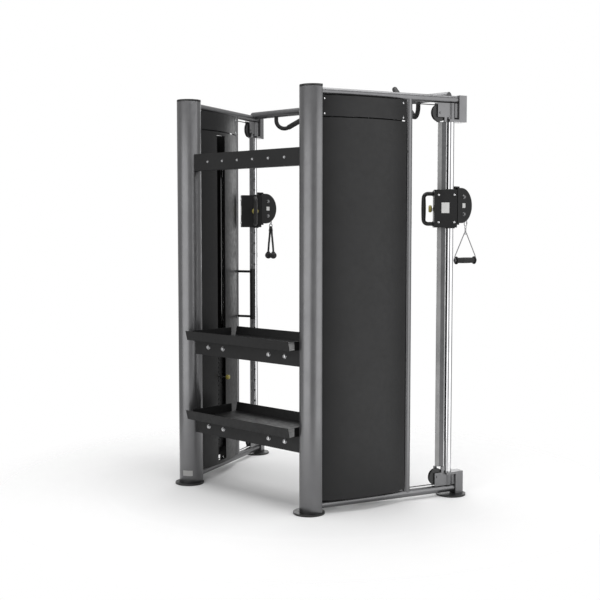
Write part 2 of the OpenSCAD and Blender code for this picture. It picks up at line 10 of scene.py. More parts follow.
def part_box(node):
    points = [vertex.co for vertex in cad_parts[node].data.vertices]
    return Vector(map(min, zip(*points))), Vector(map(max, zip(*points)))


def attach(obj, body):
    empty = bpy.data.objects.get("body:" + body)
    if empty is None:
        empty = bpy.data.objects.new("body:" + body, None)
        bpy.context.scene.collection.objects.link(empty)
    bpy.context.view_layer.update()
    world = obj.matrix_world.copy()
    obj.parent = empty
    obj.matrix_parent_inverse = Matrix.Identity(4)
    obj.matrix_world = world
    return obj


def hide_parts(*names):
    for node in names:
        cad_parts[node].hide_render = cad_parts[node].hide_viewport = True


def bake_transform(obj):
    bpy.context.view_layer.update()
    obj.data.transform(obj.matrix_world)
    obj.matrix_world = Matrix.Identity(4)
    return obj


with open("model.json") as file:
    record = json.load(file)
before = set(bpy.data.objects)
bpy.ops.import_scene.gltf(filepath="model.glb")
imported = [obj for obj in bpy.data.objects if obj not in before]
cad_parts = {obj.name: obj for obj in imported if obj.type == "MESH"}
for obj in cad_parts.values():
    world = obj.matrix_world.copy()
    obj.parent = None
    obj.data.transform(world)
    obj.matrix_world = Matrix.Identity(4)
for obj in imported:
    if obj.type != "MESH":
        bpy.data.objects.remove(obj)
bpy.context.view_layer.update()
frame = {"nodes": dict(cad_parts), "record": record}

# Driving dimensions, in metres and degrees
# Angle of each tower to the front-to-back line
SPLAY = 20
# Turn of the carriages on their tubes, from the tower's line
CARRIAGE_TURN = 30
# Post axis to tube axis, and post axis to the middle of the weight stack
COLUMN_OUT = 0.8
STACK_OUT = 0.235
# Tube axis to the housing's swivel, and from there to its wheels and to the hanging cable
PIVOT_OUT = 0.055
WHEEL_OUT = 0.049
HANG_OUT = 0.089
PULLEY_R = 0.040
CABLE_R = 0.0025
# The pulley housing: its middle, its cheeks' radius and centre, and half the distance between its wheels
HOUSING_Z = 1.527
HOUSING_R = 0.090
CHEEK_OUT = 0.031
WHEEL_GAP = 0.045
# The carriage: its locking pin's height, half its own height, and its label's and its handle's faces
PIN_Z = 1.509
CARRIAGE_HALF_H = 0.097
CARRIAGE_FACE = 0.081
CARRIAGE_BACK = -0.085
# The cable's end: its ball stop, and the top of the snap hook below
STOP_R = 0.0105
STOP_Z = 1.467
HOOK_TOP = 1.452
# The stirrup
GRIP_Z = 1.238
GRIP_HALF = 0.060
# The rope
RING_Z = 1.420
BALL_R = 0.021
LEG_R = 0.0065
# The rack's bolts: where its bar and its gussets are, and their spacing
BAR_BOLT_Z = 1.7605
PEG_PITCH = 0.114
GUSSET_OUT = 0.230
GUSSET_BOLT_OUT = 0.058
# One rope leg below the right housing: (sideways, height), the route of the CAD's solid
LEG_ROUTE = [
    (0.007, 1.404), (0.007, 1.394), (0.008, 1.384), (0.009, 1.374), (0.010, 1.364), (0.011, 1.354),
    (0.013, 1.344), (0.014, 1.334), (0.015, 1.324), (0.017, 1.314), (0.018, 1.304), (0.019, 1.294),
    (0.020, 1.284), (0.021, 1.274), (0.022, 1.264), (0.022, 1.254),
]
# The floor is whole up to the first distance from the middle, and gone at the second
FLOOR_SOLID = 1.1
FLOOR_END = 1.9
SIDES = ("left", "right")

slots = {s["node"]: s["material_slot"] for s in frame["record"]["subparts"]}


# ---------------------------------------------------------------- places

def centre(node):
    low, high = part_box(node)
    return (low + high) / 2


def turned(angle, origin):
    """A frame with Z up whose X points at a compass angle, in degrees from +X."""
    return Matrix.Translation(origin) @ Matrix.Rotation(math.radians(angle), 4, "Z")


def mirrored(side, matrix):
    """The same place on the left tower, which is the right one's mirror image."""
    flip = Matrix.Scale(-1, 4, (1, 0, 0)) if side == "left" else Matrix.Identity(4)
    return flip @ matrix


tube_axis = centre("right_guide_tube")
tube_axis.z = 0
post_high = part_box("right_rear_post")[1]
tower_heading = SPLAY - 90
along = Vector((math.cos(math.radians(tower_heading)), math.sin(math.radians(tower_heading)), 0))
post_axis = tube_axis - COLUMN_OUT * along
post_radius = post_high.x - post_axis.x


def tower(side):
    """X runs from the post to the column, Y away from the middle, Z up."""
    return mirrored(side, turned(tower_heading, post_axis))


def column(side):
    """The carriage's frame: X leads away from the locking pin."""
    return mirrored(side, turned(tower_heading + CARRIAGE_TURN, tube_axis))


def housing(side):
    """The pulley housing's frame: X points at the user, the origin is the swivel axis."""
    return mirrored(side, turned(-90, tube_axis + Vector((0, -PIVOT_OUT, 0))))


def hang(side, turn=0):
    """The frame of what hangs from a housing, on the hanging cable's line."""
    return housing(side) @ Matrix.Translation((HANG_OUT, 0, 0)) @ Matrix.Rotation(math.radians(turn), 4, "Z")


# ---------------------------------------------------------------- materials

def shader(name, colour, metallic, roughness, **sockets):
    """A Principled material, with its nodes and the object's own coordinates."""
    mat = bpy.data.materials.new(name)
    mat.use_nodes = True
    nodes = mat.node_tree.nodes
    bsdf = nodes["Principled BSDF"]
    bsdf.inputs["Base Color"].default_value = (*colour, 1)
    bsdf.inputs["Metallic"].default_value = metallic
    bsdf.inputs["Roughness"].default_value = roughness
    for socket, value in sockets.items():
        bsdf.inputs[socket.replace("_", " ")].default_value = value
    coords = nodes.new("ShaderNodeTexCoord")
    return mat, bsdf, coords.outputs["Object"]


def noise(mat, coords, scale, detail=3, stretch=(1, 1, 1)):
    nodes, links = mat.node_tree.nodes, mat.node_tree.links
    mapping = nodes.new("ShaderNodeMapping")
    mapping.inputs["Scale"].default_value = stretch
    texture = nodes.new("ShaderNodeTexNoise")
    texture.inputs["Scale"].default_value = scale
    texture.inputs["Detail"].default_value = detail
    links.new(coords, mapping.inputs["Vector"])
    links.new(mapping.outputs["Vector"], texture.inputs["Vector"])
    return texture.outputs["Fac"]


def wave(mat, coords, scale, direction="Z", distortion=0.0):
    nodes, links = mat.node_tree.nodes, mat.node_tree.links
    texture = nodes.new("ShaderNodeTexWave")
    texture.bands_direction = direction
    texture.inputs["Scale"].default_value = scale
    texture.inputs["Distortion"].default_value = distortion
    links.new(coords, texture.inputs["Vector"])
    return texture.outputs["Fac"]


def spread(mat, factor, low, high, socket):
    """Drives a shader socket from low to high as a texture's factor goes from 0.35 to 0.65."""
    nodes, links = mat.node_tree.nodes, mat.node_tree.links
    if isinstance(low, tuple):
        ramp = nodes.new("ShaderNodeValToRGB")
        for element, at, colour in zip(ramp.color_ramp.elements, (0.35, 0.65), (low, high)):
            element.position = at
            element.color = (*colour, 1)
        links.new(factor, ramp.inputs["Fac"])
        links.new(ramp.outputs["Color"], socket)
        return
    span = nodes.new("ShaderNodeMapRange")
    for key, value in (("From Min", 0.35), ("From Max", 0.65), ("To Min", low), ("To Max", high)):
        span.inputs[key].default_value = value
    links.new(factor, span.inputs["Value"])
    links.new(span.outputs["Result"], socket)


def bumps(mat, bsdf, heights, distance):
    """Adds one bump after another from a list of (texture factor, strength)."""
    nodes, links = mat.node_tree.nodes, mat.node_tree.links
    normal = None
    for factor, strength in heights:
        bump = nodes.new("ShaderNodeBump")
        bump.inputs["Strength"].default_value = strength
        bump.inputs["Distance"].default_value = distance
        links.new(factor, bump.inputs["Height"])
        if normal:
            links.new(normal, bump.inputs["Normal"])
        normal = bump.outputs["Normal"]
    links.new(normal, bsdf.inputs["Normal"])


def tone(colour, gain):
    return tuple(min(1, c * gain) for c in colour)


def coated(name, colour, metallic, rough, grain, grain_strength, vary=0.12, distance=0.0004, **sockets):
    """Powder coat or moulded plastic: cloudy colour, uneven gloss and a fine grain."""
    mat, bsdf, at = shader(name, colour, metallic, sum(rough) / 2, **sockets)
    cloud = noise(mat, at, 7)
    spread(mat, cloud, tone(colour, 1 - vary), tone(colour, 1 + vary), bsdf.inputs["Base Color"])
    spread(mat, noise(mat, at, 40), *rough, bsdf.inputs["Roughness"])
    bumps(mat, bsdf, [(noise(mat, at, grain, 2), grain_strength)], distance)
    return mat


def make_frame_paint():
    return coated("frame_paint_mat", (0.17, 0.17, 0.174), 0.85, (0.28, 0.36), 900, 0.1,
                  vary=0.05, Coat_Weight=0.1, Coat_Roughness=0.25)


def make_matte_black():
    return coated("matte_black_mat", (0.009, 0.009, 0.0093), 0.0, (0.42, 0.56), 700, 0.25,
                  Specular_IOR_Level=0.3)


def make_shroud():
    return coated("shroud_mat", (0.009, 0.009, 0.0094), 0.0, (0.34, 0.44), 420, 0.12, distance=0.0006,
                  Specular_IOR_Level=0.3)


def make_plastic():
    return coated("black_plastic_mat", (0.008, 0.008, 0.008), 0.0, (0.38, 0.5), 500, 0.2)


def make_rubber():
    return coated("rubber_grip_mat", (0.008, 0.008, 0.008), 0.0, (0.6, 0.75), 650, 0.5, vary=0.2)


def make_chrome():
    mat, bsdf, at = shader("chrome_mat", (0.66, 0.66, 0.67), 1.0, 0.1)
    spread(mat, noise(mat, at, 12), (0.63, 0.63, 0.64), (0.70, 0.70, 0.71), bsdf.inputs["Base Color"])
    spread(mat, noise(mat, at, 60, 4, (1, 1, 0.05)), 0.07, 0.16, bsdf.inputs["Roughness"])
    bumps(mat, bsdf, [(noise(mat, at, 300, 2, (1, 1, 0.1)), 0.02)], 0.0002)
    return mat


def make_iron():
    return coated("weight_iron_mat", (0.010, 0.010, 0.0105), 0.0, (0.5, 0.68), 260, 0.4, vary=0.2)


def make_cable():
    mat, bsdf, at = shader("cable_mat", (0.012, 0.012, 0.012), 0.0, 0.4)
    spread(mat, noise(mat, at, 90), (0.009, 0.009, 0.009), (0.016, 0.016, 0.016), bsdf.inputs["Base Color"])
    spread(mat, noise(mat, at, 200), 0.32, 0.46, bsdf.inputs["Roughness"])
    bumps(mat, bsdf, [(wave(mat, at, 260, "DIAGONAL"), 0.3)], 0.0003)
    return mat


def make_rope_weave():
    mat, bsdf, at = shader("rope_mat", (0.020, 0.020, 0.021), 0.0, 0.8,
                           Sheen_Weight=0.4, Sheen_Roughness=0.4)
    weave = wave(mat, at, 130, "DIAGONAL", 1.5)
    spread(mat, weave, (0.012, 0.012, 0.013), (0.036, 0.036, 0.037), bsdf.inputs["Base Color"])
    spread(mat, noise(mat, at, 800), 0.7, 0.9, bsdf.inputs["Roughness"])
    bumps(mat, bsdf, [(weave, 0.8), (noise(mat, at, 1500), 0.4)], 0.001)
    return mat


def make_yellow():
    return coated("yellow_mat", (0.33, 0.28, 0.055), 0.0, (0.28, 0.4), 450, 0.12, vary=0.1,
                  Coat_Weight=0.2, Coat_Roughness=0.25)


def make_nylon():
    return coated("nylon_mat", (0.009, 0.009, 0.0095), 0.0, (0.33, 0.45), 380, 0.15)


def make_label():
    return coated("blank_label_mat", (0.55, 0.55, 0.54), 0.0, (0.3, 0.4), 600, 0.05, vary=0.04)


def make_wire():
    """Plated steel wire and bolts, darker than the polished tubes."""
    return coated("steel_wire_mat", (0.30, 0.30, 0.305), 1.0, (0.22, 0.34), 300, 0.08, vary=0.1)


def make_floor():
    """Pale and plain, melting into the white background away from the object."""
    mat, bsdf, at = shader("floor_mat", (0.86, 0.86, 0.86), 0.0, 0.9)
    spread(mat, noise(mat, at, 2), (0.855, 0.855, 0.855), (0.865, 0.865, 0.865), bsdf.inputs["Base Color"])
    bsdf.inputs["Specular IOR Level"].default_value = 0.1
    nodes, links = mat.node_tree.nodes, mat.node_tree.links
    reach = nodes.new("ShaderNodeVectorMath")
    reach.operation = "LENGTH"
    fade = nodes.new("ShaderNodeMapRange")
    fade.inputs["From Min"].default_value = FLOOR_SOLID
    fade.inputs["From Max"].default_value = FLOOR_END
    clear = nodes.new("ShaderNodeBsdfTransparent")
    mix = nodes.new("ShaderNodeMixShader")
    links.new(at, reach.inputs[0])
    links.new(reach.outputs["Value"], fade.inputs["Value"])
    links.new(fade.outputs["Result"], mix.inputs["Fac"])
    links.new(bsdf.outputs["BSDF"], mix.inputs[1])
    links.new(clear.outputs["BSDF"], mix.inputs[2])
    links.new(mix.outputs["Shader"], nodes["Material Output"].inputs["Surface"])
    return mat


materials = {
    "frame_paint": make_frame_paint(),
    "matte_black_paint": make_matte_black(),
    "shroud_black": make_shroud(),
    "black_plastic": make_plastic(),
    "rubber_grip": make_rubber(),
    "chrome": make_chrome(),
    "weight_iron": make_iron(),
    "cable_black": make_cable(),
    "yellow_knob": make_yellow(),
    "nylon": make_nylon(),
}
# A lighter grey copy of the frame paint: a painted highlight for the lit band on the index channels' sides
painted_highlight_mat = coated("index_painted_highlight_mat", (0.34, 0.34, 0.34), 0.7, (0.35, 0.45), 500, 0.08)
rope_mat = make_rope_weave()
label_mat = make_label()
wire_mat = make_wire()


# ---------------------------------------------------------------- mesh helpers

def piece(name, mesh, body, slot, matrix=None, mat=None, smooth=40, replaces=()):
    """Turns a bmesh into an object in the row frame that rides on a body, or, given a tuple of bodies, stays
    unparented in the row frame.
    """
    if matrix is not None:
        bmesh.ops.transform(mesh, matrix=matrix, verts=mesh.verts)
    bmesh.ops.recalc_face_normals(mesh, faces=mesh.faces)
    data = bpy.data.meshes.new(name)
    mesh.to_mesh(data)
    mesh.free()
    for face in data.polygons:
        face.use_smooth = True
    data.set_sharp_from_angle(angle=math.radians(smooth))
    data.materials.append(mat or materials[slot])
    obj = bpy.data.objects.new(name, data)
    bpy.context.scene.collection.objects.link(obj)
    if isinstance(body, tuple):
        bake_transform(obj)
    else:
        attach(obj, body)
    if replaces:
        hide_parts(*replaces)
    return obj


def join(*meshes):
    """Puts several bmeshes into the first one."""
    first = meshes[0]
    for other in meshes[1:]:
        data = bpy.data.meshes.new("part")
        other.to_mesh(data)
        other.free()
        first.from_mesh(data)
        bpy.data.meshes.remove(data)
    return first


def moved(mesh, matrix):
    bmesh.ops.transform(mesh, matrix=matrix, verts=mesh.verts)
    return mesh


def shift(x, y, z):
    return Matrix.Translation((x, y, z))


def along_axis(axis):
    """Turns +Z onto an axis."""
    return Vector((0, 0, 1)).rotation_difference(Vector(axis)).to_matrix().to_4x4()


def lathe(profile, steps=32):
    """A solid turned about Z from (radius, height) points; it closes where the radius is 0."""
    mesh = bmesh.new()
    rings = []
    for r, z in profile:
        if r == 0:
            rings.append([mesh.verts.new((0, 0, z))])
            continue
        rings.append([
            mesh.verts.new((r * math.cos(2 * math.pi * k / steps), r * math.sin(2 * math.pi * k / steps), z))
            for k in range(steps)
        ])
    for low, high in zip(rings, rings[1:]):
        for k in range(steps):
            corners = [low[k % len(low)], low[(k + 1) % len(low)],
                       high[(k + 1) % len(high)], high[k % len(high)]]
            mesh.faces.new(list(dict.fromkeys(corners)))
    for ring in (rings[0], rings[-1]):
        if len(ring) > 1:
            mesh.faces.new(ring)
    return mesh


def sweep(points, radius, steps=16, closed=False):
    """A round tube along points, with flat ends unless it closes on itself."""
    mesh = bmesh.new()
    count = len(points)
    points = [Vector(p) for p in points]
    rings = []
    normal = None
    for i, p in enumerate(points):
        before = points[i - 1] if closed or i else p
        after = points[(i + 1) % count] if closed or i < count - 1 else p
        heading = (after - before).normalized()
        if normal is None:
            normal = heading.orthogonal().normalized()
        normal = (normal - heading * normal.dot(heading)).normalized()
        other = heading.cross(normal)
        r = radius[i] if isinstance(radius, (list, tuple)) else radius
        rings.append([
            mesh.verts.new(p + r * (math.cos(2 * math.pi * k / steps) * normal
                                    + math.sin(2 * math.pi * k / steps) * other))
            for k in range(steps)
        ])
    pairs = list(zip(rings, rings[1:]))
    if closed:
        first = rings[0]
        turn = min(range(steps), key=lambda k: (first[k].co - rings[-1][0].co).length)
        pairs.append((rings[-1], first[turn:] + first[:turn]))
    for low, high in pairs:
        for k in range(steps):
            mesh.faces.new([low[k], low[(k + 1) % steps], high[(k + 1) % steps], high[k]])
    if not closed:
        mesh.faces.new(rings[0])
        mesh.faces.new(rings[-1])
    return mesh


def rounded_box(size, radius, segments=3):
    """A box centred on the origin with rounded edges."""
    mesh = bmesh.new()
    bmesh.ops.create_cube(mesh, size=1)
    bmesh.ops.scale(mesh, vec=size, verts=mesh.verts)
    bmesh.ops.bevel(mesh, geom=mesh.edges, offset=radius, segments=segments, affect="EDGES", profile=0.5)
    return mesh


def arc(middle, radius, start, end, plane, steps=8):
    """Points on an arc about middle; plane gives its two directions."""
    u, v = (Vector(d) for d in plane)
    turns = [math.radians(start + (end - start) * i / steps) for i in range(steps + 1)]
    return [Vector(middle) + radius * (math.cos(t) * u + math.sin(t) * v) for t in turns]


def dome(r, start, stop):
    """Profile points on a ball's surface, every ten degrees of latitude."""
    return [(r * math.cos(math.radians(a)), r * math.sin(math.radians(a))) for a in range(start, stop, 10)]


def hex_bolt(head_r, head_h):
    """A domed hexagon head with a washer under it, standing on the origin along +Z."""
    washer = lathe([(0, 0), (head_r * 1.25, 0), (head_r * 1.3, 0.0006), (head_r * 1.25, 0.0014),
                    (0, 0.0014)])
    head = bmesh.new()
    bmesh.ops.create_cone(head, cap_ends=True, segments=6, radius1=head_r, radius2=head_r, depth=head_h)
    bmesh.ops.translate(head, vec=(0, 0, 0.0014 + head_h / 2), verts=head.verts)
    edges = [e for e in head.edges if all(v.co.z > head_h for v in e.verts)]
    bmesh.ops.bevel(head, geom=edges, offset=head_r * 0.18, segments=2, affect="EDGES", profile=0.6)
    return join(washer, head)


def socket_screw(r, h):
    """A button-head screw with a hexagon socket, standing on the origin along +Z."""
    crown = [(r * math.cos(math.radians(a)), h * 0.35 + h * 0.65 * math.sin(math.radians(a)))
             for a in range(0, 61, 15)]
    return lathe([(0, 0), (r, 0)] + crown + [(r * 0.38, h * 0.92), (r * 0.36, h * 0.35), (0, h * 0.35)], 24)


def bevelled(node, width, angle=35):
    """Rounds a carried-over CAD node's edges with modifiers, so that they catch the light."""
    obj = frame["nodes"][node]
    weld = obj.modifiers.new("weld", "WELD")
    weld.merge_threshold = 0.00002
    bevel = obj.modifiers.new("edges", "BEVEL")
    bevel.width = width
    bevel.segments = 2
    bevel.limit_method = "ANGLE"
    bevel.angle_limit = math.radians(angle)
    bevel.use_clamp_overlap = True
    bevel.harden_normals = True


# ---------------------------------------------------------------- camera

def make_camera():
    """The photograph's view: behind the left post, about 5 m away, at chest height."""
    left_post = Vector((-post_axis.x, post_axis.y, 0))
    data = bpy.data.cameras.new("camera")
    data.lens = 63.63
    data.sensor_width = 36
    data.clip_end = 60
    obj = bpy.data.objects.new("camera", data)
    obj.location = left_post + Vector((-3.529, 3.793, 1.422))
    obj.rotation_euler = Vector((0.68818, -0.72216, -0.07000)).to_track_quat("-Z", "Y").to_euler()
    bpy.context.scene.collection.objects.link(obj)
    bpy.context.scene.camera = obj


# ---------------------------------------------------------------- rope

def rope_leg(name, across):
    """One leg of the rope, a free cord from the ring to its ball."""
    place = hang("right")
    route = [place @ Vector((0, across * y, z)) for y, z in LEG_ROUTE]
    data = bpy.data.curves.new(name, "CURVE")
    data.dimensions = "3D"
    data.bevel_depth = LEG_R
    data.bevel_resolution = 4
    data.use_fill_caps = True
    spline = data.splines.new("POLY")
    spline.points.add(len(route) - 1)
    for point, p in zip(spline.points, route):
        point.co = (*p, 1)
    data.materials.append(rope_mat)
    leg = bpy.data.objects.new(name, data)
    bpy.context.scene.collection.objects.link(leg)
    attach(leg, "rope")
    return leg


def rope_ball(name, across):
    """A moulded ball with a collar where the leg goes in."""
    y, z = LEG_ROUTE[-1]
    shell = dome(BALL_R, -90, 61)
    collar = [(0.0115, 0.0188), (0.0112, 0.0215), (0.0098, 0.0225), (LEG_R, 0.0225), (0, 0.0205)]
    shell[0] = (0, -BALL_R)
    at = hang("right") @ shift(0, across * y, z - BALL_R + 0.003)
    return piece(name, lathe(shell + collar, 36), "rope", "rubber_grip", at)


def carabiner(height, width, wire):
    """A closed snap hook in the XZ plane, its middle at the origin."""
    r = width / 2
    straight = height / 2 - r
    points = arc((0, 0, straight), r, 0, 180, ((1, 0, 0), (0, 0, 1)), 10)
    points += arc((0, 0, -straight), r, 180, 360, ((1, 0, 0), (0, 0, 1)), 10)
    gate = lathe([(0, -straight * 0.7), (wire * 1.5, -straight * 0.7), (wire * 1.5, straight * 0.7),
                  (0, straight * 0.7)], 16)
    return join(sweep(points, wire, 12, closed=True), moved(gate, shift(r, 0, 0)))


def chain_link(height, width, wire):
    """An oval link in the XZ plane, its middle at the origin."""
    r = width / 2 - wire
    straight = height / 2 - width / 2
    points = arc((0, 0, straight), r, 0, 180, ((1, 0, 0), (0, 0, 1)), 8)
    points += arc((0, 0, -straight), r, 180, 360, ((1, 0, 0), (0, 0, 1)), 8)
    return sweep(points, wire, 10, closed=True)


def make_rope():
    """Two legs with their balls, on a saddle and a ring that hooks on to the cable's end."""
    balls = [rope_ball(f"rope_ball_{tag}", across) for tag, across in (("a", -1), ("b", 1))]
    legs = [rope_leg(f"rope_leg_{tag}", across)
            for tag, across, ball in zip("ab", (-1, 1), balls)]
    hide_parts("rope_legs")
    place = hang("right")
    ring = sweep(arc((0, 0, 0), 0.0125, 0, 350, ((0, 1, 0), (0, 0, 1)), 35), 0.0026, 12, closed=True)
    piece("rope_ring", ring, "rope", "chrome", place @ shift(0, 0, RING_Z), mat=wire_mat,
          replaces=["rope_fittings"])
    saddle = [(0, math.cos(math.radians(a)) * 0.0075, math.sin(math.radians(a)) * 0.012)
              for a in range(0, 181, 15)]
    loop = sweep([Vector(p) for p in saddle], 0.0062, 12)
    piece("rope_saddle", loop, "rope", "cable_black", place @ shift(0, 0, 1.4015), mat=rope_mat)
    ferrule = lathe([(0.0, -0.006), (0.0135, -0.006), (0.0145, -0.004), (0.0145, 0.004), (0.0135, 0.006),
                     (0, 0.006)])
    ferrule = moved(ferrule, Matrix.Diagonal((0.62, 1.1, 1, 1)))
    piece("rope_ferrule", ferrule, "rope", "rubber_grip", place @ shift(0, 0, 1.392))
    hook_on("rope", place, RING_Z + 0.010)


def hook_on(body, place, low):
    """The snap hook between the ball stop's eye and whatever hangs at a height."""
    height = HOOK_TOP - low
    hook = carabiner(height, height * 0.5, 0.0022)
    piece(f"{body}_snap_hook", hook, body, "chrome", place @ shift(0, 0, (HOOK_TOP + low) / 2),
          mat=wire_mat)


make_camera()
make_rope()


# ---------------------------------------------------------------- CAD nodes

BEVELS = {
    "post_caps": 0.003, "base_discs": 0.003, "left_rear_post": 0.0025, "right_rear_post": 0.0025,
    "rack_crossbars": 0.0025, "storage_trays": 0.0008, "column_brackets": 0.0012,
    "left_carriage": 0.0015, "right_carriage": 0.0015, "left_pulley_housing": 0.001,
    "right_pulley_housing": 0.001, "cable_guards": 0.0006, "frame_bolts": 0.0008, "grab_handles": 0.002,
}


def dress_cad():
    for node, obj in frame["nodes"].items():
        mat = materials[slots[node]]
        obj.data.materials.clear()
        obj.data.materials.append(mat)
    for node, width in BEVELS.items():
        bevelled(node, width)


dress_cad()


# ---------------------------------------------------------------- handles and knobs

def make_carriage_handle(side):
    """The D-shaped grip on the carriage, a bent bar with a swollen middle and flanges."""
    face = CARRIAGE_BACK
    reach = -0.135
    half = 0.078
    r = 0.022
    path = [(face - 0.0005, 0, PIN_Z - half)]
    path += arc((reach + r, 0, PIN_Z - half + r), r, 270, 180, ((1, 0, 0), (0, 0, 1)))
    path += [(reach, 0, PIN_Z + (half - r) * (i / 6 - 1)) for i in range(1, 12)]
    path += arc((reach + r, 0, PIN_Z + half - r), r, 180, 90, ((1, 0, 0), (0, 0, 1)))
    path += [(face - 0.0005, 0, PIN_Z + half)]
    radii = []
    for point in path:
        swell = max(0.0, 1 - abs(point[2] - PIN_Z) / (half - r))
        radii.append(0.0105 + 0.0018 * math.sqrt(swell))
    bar = sweep(path, radii, 20)
    for z in (PIN_Z - half, PIN_Z + half):
        flange = lathe([(0, 0), (0.0125, 0), (0.0132, 0.001), (0.0132, 0.004), (0.012, 0.005),
                        (0, 0.005)], 24)
        bar = join(bar, moved(flange, shift(face - 0.0003, 0, z) @ along_axis((-1, 0, 0))))
    piece(f"{side}_carriage_grip", bar, f"{side}_carriage", "black_plastic", column(side),
          replaces=[f"{side}_carriage_handle"])


def knob(r, h):
    """A fluted mushroom knob along +Z, its foot on the origin."""
    profile = [(0, 0), (r * 0.7, 0), (r * 0.9, h * 0.1), (r, h * 0.25), (r, h * 0.75), (r * 0.9, h * 0.92),
               (r * 0.7, h), (0, h)]
    mesh = lathe(profile, 48)
    for v in mesh.verts:
        if v.co.z > h * 0.3 and v.co.xy.length > r * 0.8:
            flute = 1 - 0.05 * (0.5 + 0.5 * math.cos(12 * math.atan2(v.co.y, v.co.x)))
            v.co.x *= flute
            v.co.y *= flute
    return mesh


def make_pull_pin(side):
    """The carriage's locking plunger: a chrome pin and a yellow knob."""
    body = f"{side}_pin"
    place = column(side) @ shift(0, 0, PIN_Z)
    head = moved(knob(0.0190, 0.0175), shift(-0.0925, 0, 0) @ along_axis((-1, 0, 0)))
    pin = lathe([(0, 0), (0.0045, 0), (0.006, 0.0025), (0.006, 0.075), (0, 0.075)], 24)
    pin = moved(pin, shift(-0.0203, 0, 0) @ along_axis((-1, 0, 0)))
    piece(f"{side}_pull_knob", head, body, "yellow_knob", place, replaces=[f"{side}_pull_pin"])
    piece(f"{side}_pull_plunger", pin, body, "chrome", place)
    ferrule = lathe([(0.0063, 0), (0.011, 0), (0.0118, 0.001), (0.0118, 0.006), (0.0105, 0.0075),
                     (0.0063, 0.0075), (0.0063, 0)], 6)
    ferrule = moved(ferrule, shift(-0.0852, 0, 0) @ along_axis((-1, 0, 0)))
    piece(f"{side}_plunger_nut", ferrule, f"{side}_carriage", "chrome", place)


def make_selector_pin(side):
    """The weight stack's selector: a steel pin and a yellow knob."""
    body = f"{side}_selector"
    low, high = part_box(f"{side}_selector_pin")
    z = (low.z + high.z) / 2
    place = tower(side) @ shift(STACK_OUT, 0, z)
    head = moved(knob(0.0130, 0.020), shift(0, -0.098, 0) @ along_axis((0, -1, 0)))
    pin = lathe([(0, 0), (0.003, 0), (0.004, 0.002), (0.004, 0.097), (0, 0.097)], 20)
    pin = moved(pin, shift(0, -0.002, 0) @ along_axis((0, -1, 0)))
    piece(f"{side}_selector_knob", head, body, "yellow_knob", place, replaces=[f"{side}_selector_pin"])
    piece(f"{side}_selector_shank", pin, body, "chrome", place)


def make_carriage_trim(side):
    """Screws and a blank label on the carriage, and the guide bushes at its ends."""
    body = f"{side}_carriage"
    place = column(side)
    outward = along_axis((0, 1, 0))
    label = rounded_box((0.040, 0.054, 0.0008), 0.0003, 1)
    label = moved(label, shift(-0.028, CARRIAGE_FACE + 0.0003, PIN_Z + 0.004) @ outward)
    piece(f"{side}_carriage_label", label, body, "black_plastic", place, mat=label_mat)
    screws = [moved(socket_screw(0.0055, 0.004), shift(x, CARRIAGE_FACE, PIN_Z + z) @ outward)
              for x, z in ((-0.062, 0.070), (-0.062, -0.070), (0.018, 0.070), (0.018, -0.070))]
    piece(f"{side}_carriage_screws", join(*screws), body, "chrome", place)
    bushes = []
    for up in (1, -1):
        bush = lathe([(0.0203, 0), (0.0275, 0), (0.0275, 0.003), (0.0262, 0.0045), (0.0203, 0.0045),
                      (0.0203, 0)], 40)
        bushes.append(moved(bush, shift(0, 0, PIN_Z + up * CARRIAGE_HALF_H) @ along_axis((0, 0, up))))
    piece(f"{side}_carriage_bushes", join(*bushes), body, "nylon", place)


def make_housing_trim(side):
    """Axle bolts, a rim round each cheek plate and a blank label on the pulley housing."""
    body = f"{side}_housing"
    place = housing(side)
    bolts = []
    for dz in (-WHEEL_GAP, WHEEL_GAP):
        for y, way in ((0.017, 1), (-0.017, -1)):
            bolt = hex_bolt(0.0085, 0.0055)
            bolts.append(moved(bolt, shift(WHEEL_OUT, y, HOUSING_Z + dz) @ along_axis((0, way, 0))))
    piece(f"{side}_axle_bolts", join(*bolts), body, "chrome", place, mat=wire_mat)
    rims = []
    for y in (-0.0145, 0.0145):
        rim = arc((CHEEK_OUT, y, HOUSING_Z), HOUSING_R - 0.001, -90, 90, ((1, 0, 0), (0, 0, 1)), 28)
        rim = [Vector((-0.004, y, HOUSING_Z - HOUSING_R + 0.001))] + rim
        rim += [Vector((-0.004, y, HOUSING_Z + HOUSING_R - 0.001))]
        rims.append(sweep(rim, 0.0032, 10))
    piece(f"{side}_cheek_rims", join(*rims), body, "black_plastic", place)
    labels = []
    for y in (-0.0172, 0.0172):
        label = rounded_box((0.026, 0.0006, 0.024), 0.0002, 1)
        labels.append(moved(label, shift(0.048, y, HOUSING_Z)))
    piece(f"{side}_housing_labels", join(*labels), body, "black_plastic", place, mat=label_mat)


def make_post_label():
    """A blank plate that wraps round the back of the right post near its foot."""
    mesh = bmesh.new()
    turns = [math.radians(a) for a in range(95, 146, 5)]
    skin = post_radius + 0.0003
    rows = [[mesh.verts.new((skin * math.cos(a), skin * math.sin(a), z)) for a in turns]
            for z in (0.048, 0.078)]
    for k in range(len(turns) - 1):
        mesh.faces.new([rows[0][k], rows[0][k + 1], rows[1][k + 1], rows[1][k]])
    bmesh.ops.solidify(mesh, geom=mesh.faces, thickness=-0.0008)
    piece("post_label", mesh, "frame", "black_plastic", shift(*post_axis), mat=label_mat)


